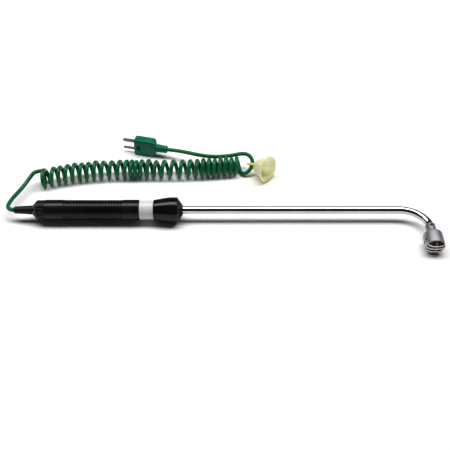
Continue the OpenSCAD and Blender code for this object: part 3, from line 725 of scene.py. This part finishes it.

# The spring behind the block, from the cup's floor to the block's back
SPRING_STEPS = 96
SPRING_GAP = 0.02
spring_z0, spring_z1 = CUP_FLOOR_Z + SPRING_WIRE + SPRING_GAP, BLOCK_Z - SPRING_WIRE - SPRING_GAP
spring_line = []
for k in range(SPRING_STEPS + 1):
    a = 2 * math.pi * SPRING_TURNS * k / SPRING_STEPS
    spring_line.append(in_head((SPRING_R * math.cos(a), SPRING_R * math.sin(a),
                                spring_z0 + (spring_z1 - spring_z0) * k / SPRING_STEPS)) / MM)
spring_mesh = finish_mesh(swept(spring_line, disc(SPRING_WIRE, 12)), "spring_press", 60)
spring_mesh.materials.append(STEEL)
spring = bpy.data.objects.new("spring_press", spring_mesh)
SCENE.collection.objects.link(spring)
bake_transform(spring)
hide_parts("press_spring")

# ---------------------------------------------------------------- plug


def rounded_box(outline, y0, y1, place, bevel, name):
    """A flat outline of (x, z) between y0 and y1, its rims rounded by bevel."""
    n = len(outline)
    centre = Vector((sum(p[0] for p in outline) / n, sum(p[1] for p in outline) / n))
    steps = 4
    rims = []
    for edge, direction in ((y0, 1), (y1, -1)):
        rim = []
        for k in range(steps + 1):
            a = math.pi / 2 * k / steps
            rim.append((bevel * (1 - math.sin(a)), edge + direction * bevel * (1 - math.cos(a))))
        rims.append(rim)
    bm = bmesh.new()
    rings = []
    for inset, y in rims[0] + rims[1][::-1]:
        ring = []
        for i in range(n):
            p = Vector(outline[i])
            a, b = Vector(outline[i - 1]), Vector(outline[(i + 1) % n])
            t = (b - a).normalized()
            normal = Vector((t.y, -t.x))
            if (p - centre).dot(normal) < 0:
                normal = -normal
            q = p - normal * inset
            ring.append(bm.verts.new(place((q.x, y, q.y))))
        rings.append(ring)
    for low, high in zip(rings, rings[1:]):
        for k in range(n):
            j = (k + 1) % n
            bm.faces.new((low[k], low[j], high[j], high[k]))
    bm.faces.new(rings[0][::-1])
    bm.faces.new(rings[-1])
    return finish_mesh(bm, name, 35)


def plug_outline():
    """Outline of the plug body: round corners at the cord end, small ones at the blade end."""
    x0, x1, w = PLUG_BOOT_LEN, PLUG_BOOT_LEN + PLUG_L, PLUG_W / 2
    pts = []
    for cx, cz, r, a0 in ((x0 + 3, -w + 3, 3, 180), (x1 - 1, -w + 1, 1, 270), (x1 - 1, w - 1, 1, 0),
                          (x0 + 3, w - 3, 3, 90)):
        for k in range(9):
            a = math.radians(a0 + 90 * k / 8)
            pts.append((cx + r * math.cos(a), cz + r * math.sin(a)))
    return pts


PLUG_SCREW_X = PLUG_BOOT_LEN + PLUG_L - 4.2
PLUG_RECESS_Y = 2.3
PLUG_RECESS_R = 2.2
for name, node, y0, y1 in (("plug_half_front", "plug_front_half", PLUG_GAP, PLUG_T / 2),
                           ("plug_half_back", "plug_back_half", -PLUG_T / 2, -PLUG_GAP)):
    half_mesh = rounded_box(plug_outline(), y0, y1, in_plug, PLUG_RIM, name)
    obj = new_object(name, half_mesh, "probe", PLUG_GREEN)
    if node == "plug_front_half":
        drill(obj, in_plug((PLUG_SCREW_X, PLUG_RECESS_Y, 0)), in_plug((PLUG_SCREW_X, 6, 0)), PLUG_RECESS_R * MM)
    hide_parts(node)

PLUG_RIBS = 4
relief_profile = [(0.02, 1.72), (0.02, 3.3, 0.3)]
for i in range(PLUG_RIBS):
    x = 0.6 + i * 2.275
    r = 3.4 + 0.5 * i / PLUG_RIBS
    relief_profile += [(x, r, 0.3), (x + 1.3, r, 0.35), (x + 1.5, r - 0.75, 0.15), (x + 2.15, r - 0.75, 0.15)]
relief_profile += [(9.7, 3.9, 0.2), (PLUG_BOOT_LEN + 0.3, 3.9), (PLUG_BOOT_LEN + 0.3, 1.72)]
relief_bm = lathe(rounded(relief_profile), lambda v: in_plug((v.z, v.x, v.y)))
plug_boot = new_object("plug_relief", finish_mesh(relief_bm, "plug_relief"), "probe", PLUG_GREEN)
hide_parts("plug_boot")

# ---------------------------------------------------------------- cap

cap_profile = rounded([
    (0, 0), (0, 4.4, 0.3), (0.6, 5.8, 0.8), (1.8, 6.4, 1.5), (5.6, 8.1, 3), (9.1, 9.0, 3), (10.9, 10.0, 1.2),
    (11.7, 11.5, 0.3), (CAP_LEN, 11.5, 0.35), (CAP_LEN, 9.6, 0.3), (10.7, 8.3, 1), (9.1, 8.1, 2),
    (5.4, 7.2, 3), (2.5, 5.4, 1), (1.6, 4.6, 0.5), (1.6, 0)], 6)
cap_bm = lathe(cap_profile, in_cap, 96, closed=False)
cap = new_object("cap_bell", finish_mesh(cap_bm, "cap_bell", 60), "cap", CAP_RUBBER)
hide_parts("cap_shell")


def strap_piece():
    """Ring round the cord, a tongue to the cap and a short tail, in one mesh."""
    spin = math.atan2(STRAP_DIR.y, STRAP_DIR.x)
    turn = math.acos(STRAP_DIR.z)
    place = Matrix.Translation(STRAP_AT) @ Matrix.Rotation(spin, 4, "Z") @ Matrix.Rotation(turn, 4, "Y")
    bm = lathe(rounded([(-1.0, 2.05, 0.2), (-1.1, 2.5, 0.4), (-0.9, 3.1, 0.5), (0.9, 3.1, 0.5), (1.1, 2.5, 0.4),
                        (1.0, 2.05, 0.2)]), lambda v: (place @ v) * MM, 64)
    reach = (CAP_AT - STRAP_AT).normalized()
    tongue = smooth_line([STRAP_AT + 2.7 * reach, STRAP_AT + 3.6 * reach, CAP_AT + 0.2 * reach], 6)
    tail = smooth_line([STRAP_AT - Vector((2.7, 0, 0)), STRAP_AT - Vector((3.6, -0.6, -0.2)),
                        Vector((18.9, 78.5, 9.3))], 6)
    for line, r, grow in ((tongue, 1.0, 0.6), (tail, 0.85, 0.15)):
        part = swept(line, disc(r, 20), lambda t, g=grow: 1 + g * (2 * t - 1) ** 2)
        spare = bpy.data.meshes.new("spare")
        part.to_mesh(spare)
        part.free()
        bm.from_mesh(spare)
        bpy.data.meshes.remove(spare)
    return finish_mesh(bm, "cap_strap_soft", 60)


strap = new_object("strap_soft", strap_piece(), "cap", STRAP_RUBBER)
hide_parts("cap_strap")

# ---------------------------------------------------------------- the CAD pieces that stay

FINISHES = {
    "knob_set_screw": SCREW_BLACK, "head_set_screw": SCREW_BLACK, "front_insert": STEEL, "rod_anchor": BRASS,
    "cord_ferrule": STEEL, "cord_inner": CORD_GREEN, "lead_positive": YELLOW_WIRE, "lead_negative": RED_WIRE,
    "splice_positive": STEEL, "splice_negative": STEEL, "wire_sleeve": SLEEVE, "wire_positive": YELLOW_WIRE,
    "wire_negative": RED_WIRE, "sensor_block": CERAMIC_AND_PAINTED_SHADE, "retaining_pin": STEEL,
    "plug_screw": SCREW_BLACK, "blade_positive": BLADE, "blade_negative": BLADE, "terminal_screws": STEEL,
    "plug_clamp": STEEL,
}
for node, material in FINISHES.items():
    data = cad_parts[node].data
    data.materials.clear()
    data.materials.append(material)

# ---------------------------------------------------------------- floor, lights and surroundings

# A pale disc under the light, large enough for the whole picture at the photograph's angle
FLOOR_R = 0.64
FLOOR_Y = 0.28
floor_mesh = bpy.data.meshes.new("floor")
floor_bm = bmesh.new()
bmesh.ops.create_circle(floor_bm, cap_ends=True, segments=128, radius=FLOOR_R,
                        matrix=Matrix.Translation((0, FLOOR_Y, 0)))
floor_bm.to_mesh(floor_mesh)
floor_bm.free()
floor = bpy.data.objects.new("floor", floor_mesh)
SCENE.collection.objects.link(floor)
floor_material, _, _, bsdf = node_material("floor_paper")
bsdf.inputs["Base Color"].default_value = (0.93, 0.93, 0.93, 1)
bsdf.inputs["Roughness"].default_value = 0.7
bsdf.inputs["Specular IOR Level"].default_value = 0.2
floor_mesh.materials.append(floor_material)

# One long panel above, which lays a single band of light along the handle and the rod
PANEL_AT = Vector((0, 0.3, 1.2))
PANEL_AIM = Vector((0, 0.2, 0))
panel_data = bpy.data.lights.new("panel_above", "AREA")
panel_data.shape = "RECTANGLE"
panel_data.size = 2.4
panel_data.size_y = 0.55
panel_data.energy = 30
panel = bpy.data.objects.new("panel_above", panel_data)
panel.location = PANEL_AT
panel.rotation_euler = (PANEL_AIM - PANEL_AT).to_track_quat("-Z", "Y").to_euler()
SCENE.collection.objects.link(panel)

# The background is white where the camera looks at it, and the surroundings that light the object are dim
world = bpy.data.worlds.new("studio")
world.use_nodes = True
tree = world.node_tree
dim = tree.nodes["Background"]
dim.inputs["Color"].default_value = (1, 1, 1, 1)
dim.inputs["Strength"].default_value = 0.05
backdrop = tree.nodes.new("ShaderNodeBackground")
backdrop.inputs["Color"].default_value = (1, 1, 1, 1)
path = tree.nodes.new("ShaderNodeLightPath")
mix = tree.nodes.new("ShaderNodeMixShader")
tree.links.new(path.outputs["Is Camera Ray"], mix.inputs["Fac"])
tree.links.new(dim.outputs["Background"], mix.inputs[1])
tree.links.new(backdrop.outputs["Background"], mix.inputs[2])
tree.links.new(mix.outputs["Shader"], tree.nodes["World Output"].inputs["Surface"])
SCENE.world = world
SCENE.view_settings.view_transform = "Standard"
SCENE.view_settings.gamma = 0.88
